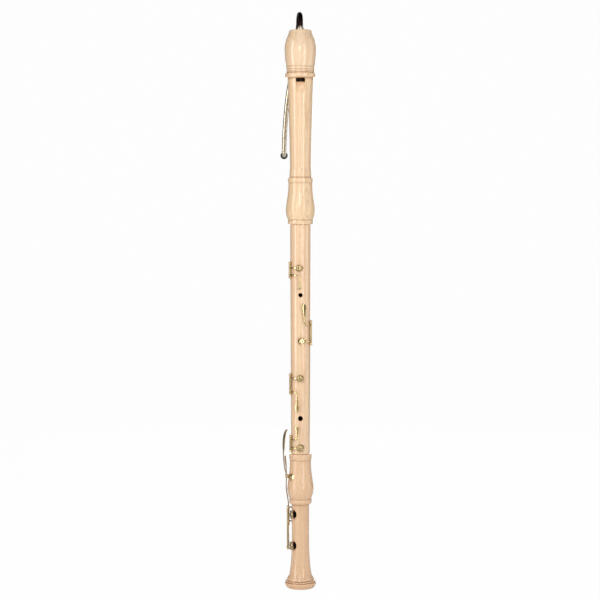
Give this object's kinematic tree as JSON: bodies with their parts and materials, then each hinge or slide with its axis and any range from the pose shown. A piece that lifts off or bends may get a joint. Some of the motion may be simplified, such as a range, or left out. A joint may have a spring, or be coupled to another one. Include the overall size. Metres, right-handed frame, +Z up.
{
  "type": "great bass recorder",
  "caption": "Large jointed wooden recorder with a bent metal crook, brass finger keys on pillars, two covered foot holes and little-finger levers.",
  "frame": {"origin": "centre of the foot's flat lower end, on the axis of the bore", "axes": "+Z up along the bore, -Y towards the front with the window and finger holes, +Y towards the player's thumb side"},
  "size_m": [0.0785, 0.1697, 1.2422],
  "materials": {
    "maple": "satin lacquer",
    "cedar": "bare",
    "cork": "bare cork",
    "brass": "polished",
    "silver": "silver plated",
    "steel": "plain",
    "black_resin": "gloss",
    "pad_leather": "matt"
  },
  "bodies": {
    "foot": {"foot_joint": "maple", "foot_post_top": "brass", "foot_post_middle": "brass", "foot_post_bottom": "brass", "foot_hinge_rod": "steel", "upper_foot_spring": "steel", "lower_foot_spring": "steel", "lever_saddle": "brass", "saddle_screw_front": "brass", "saddle_screw_back": "brass", "lever_axle": "steel"},
    "centre": {"centre_joint": "maple", "upper_cork": "cork", "lower_cork": "cork", "pillar_1_lower": "brass", "pillar_1_upper": "brass", "hinge_rod_1": "steel", "spring_1": "steel", "pillar_3_lower": "brass", "pillar_3_upper": "brass", "hinge_rod_3": "steel", "spring_3": "steel", "pillar_4_lower": "brass", "pillar_4_upper": "brass", "hinge_rod_4": "steel", "spring_4": "steel", "pillar_6_lower": "brass", "pillar_6_upper": "brass", "hinge_rod_6": "steel", "spring_6": "steel", "thumb_bush": "brass", "thumb_rest": "brass", "thumb_rest_screw": "brass", "sling_post": "brass"},
    "head": {"head_joint": "maple", "block": "cedar", "cap_cork": "cork"},
    "cap": {"cap": "maple", "crook_cork": "cork"},
    "crook": {"crook_tube": "silver", "crook_ferrule": "silver", "mouthpiece": "black_resin"},
    "key_1": {"key_1": "brass", "pad_1": "pad_leather"},
    "key_3": {"key_3": "brass", "pad_3": "pad_leather"},
    "key_4": {"key_4": "brass", "pad_4": "pad_leather"},
    "key_6": {"key_6": "brass", "pad_6": "pad_leather"},
    "upper_foot_key": {"upper_foot_key": "brass", "upper_foot_pad": "pad_leather"},
    "lower_foot_key": {"lower_foot_key": "brass", "lower_foot_pad": "pad_leather"},
    "long_lever": {"long_lever": "brass"},
    "short_lever": {"short_lever": "brass"},
    "sling_ring": {"sling_ring": "brass"}
  },
  "joints": [
    {"name": "centre_twist", "type": "hinge", "parent": "foot", "child": "centre", "pos_m": [0, 0, 0.27], "axis": [0, 0, 1], "range_deg": [-15, 15]},
    {"name": "head_tuning_slide", "type": "slide", "parent": "centre", "child": "head", "axis": [0, 0, 1], "range_m": [0, 0.015]},
    {"name": "cap_lift", "type": "slide", "parent": "head", "child": "cap", "axis": [0, 0, 1], "range_m": [0, 0.04]},
    {"name": "crook_swivel", "type": "hinge", "parent": "cap", "child": "crook", "pos_m": [0, 0, 1.2], "axis": [0, 0, 1], "continuous": true},
    {"name": "key_1_hinge", "type": "hinge", "parent": "centre", "child": "key_1", "pos_m": [-0.0229, -0.01167, 0.6893], "axis": [0, 0, 1], "range_deg": [0, 12], "stiffness_Nm_per_rad": 0.05, "springref_deg": -20.05},
    {"name": "key_3_hinge", "type": "hinge", "parent": "centre", "child": "key_3", "pos_m": [0.02242, -0.01142, 0.5543], "axis": [0, 0, -1], "range_deg": [0, 12], "stiffness_Nm_per_rad": 0.05, "springref_deg": -20.05},
    {"name": "key_4_hinge", "type": "hinge", "parent": "centre", "child": "key_4", "pos_m": [-0.02202, -0.01122, 0.4438], "axis": [0, 0, 1], "range_deg": [0, 12], "stiffness_Nm_per_rad": 0.05, "springref_deg": -20.05},
    {"name": "key_6_hinge", "type": "hinge", "parent": "centre", "child": "key_6", "pos_m": [-0.02156, -0.01098, 0.3153], "axis": [0, 0, 1], "range_deg": [0, 12], "stiffness_Nm_per_rad": 0.05, "springref_deg": -20.05},
    {"name": "long_lever_pivot", "type": "hinge", "parent": "foot", "child": "long_lever", "pos_m": [-0.03001, 0.00385, 0.243], "axis": [0, 1, 0], "range_deg": [0, 3.2]},
    {"name": "short_lever_pivot", "type": "hinge", "parent": "foot", "child": "short_lever", "pos_m": [-0.03001, -0.00385, 0.243], "axis": [0, 1, 0], "range_deg": [0, 2.7]},
    {"name": "lower_foot_key_hinge", "type": "hinge", "parent": "foot", "child": "lower_foot_key", "pos_m": [-0.0272, 0, 0.115], "axis": [0, 0, 1], "range_deg": [0, 24], "stiffness_Nm_per_rad": 0.05, "springref_deg": -28.65},
    {"name": "upper_foot_key_hinge", "type": "hinge", "parent": "foot", "child": "upper_foot_key", "pos_m": [-0.0272, 0, 0.16], "axis": [0, 0, 1], "range_deg": [0, 24], "stiffness_Nm_per_rad": 0.05, "springref_deg": -28.65},
    {"name": "sling_ring_swing", "type": "hinge", "parent": "centre", "child": "sling_ring", "pos_m": [0, 0.02748, 0.5599], "axis": [1, 0, 0], "range_deg": [0, 150]}
  ],
  "couplings": [
    {"joint": "lower_foot_key_hinge", "follows": "long_lever_pivot", "ratio": 7.5},
    {"joint": "upper_foot_key_hinge", "follows": "short_lever_pivot", "ratio": 8.8889}
  ]
}
